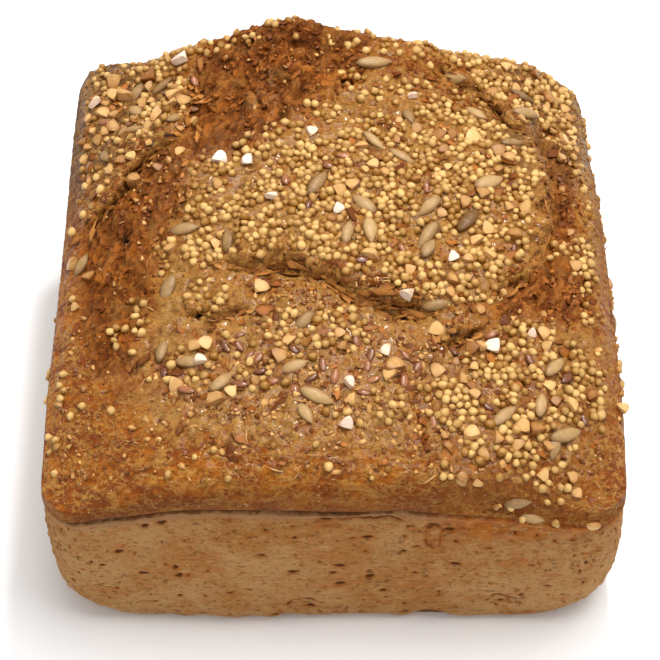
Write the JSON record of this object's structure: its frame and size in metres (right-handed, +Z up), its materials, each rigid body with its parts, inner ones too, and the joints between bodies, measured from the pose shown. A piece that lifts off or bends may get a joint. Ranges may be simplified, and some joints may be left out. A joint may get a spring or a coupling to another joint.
{
  "type": "seeded multigrain loaf",
  "caption": "Uncut tin loaf of dark multigrain bread, its burst crust covered in millet, sunflower, linseed and buckwheat.",
  "frame": {"origin": "middle of the loaf's box at the flat base it rests on", "axes": "+X the loaf's width to the right of its low side wall, +Y from that wall to the high burst side, +Z up"},
  "size_m": [0.166, 0.1635, 0.1033],
  "materials": {
    "crust": "browned rye crust, satin where it is smooth and dull where it is torn",
    "tin_wall": "light brown baked side, dull and finely pored",
    "millet": "pale yellow grain, dull",
    "sunflower": "grey-tan kernel, dull",
    "linseed": "red-brown seed, glossy",
    "buckwheat": "cream grain, dull"
  },
  "bodies": {
    "root": {"seeded_loaf": "crust"}
  },
  "joints": []
}
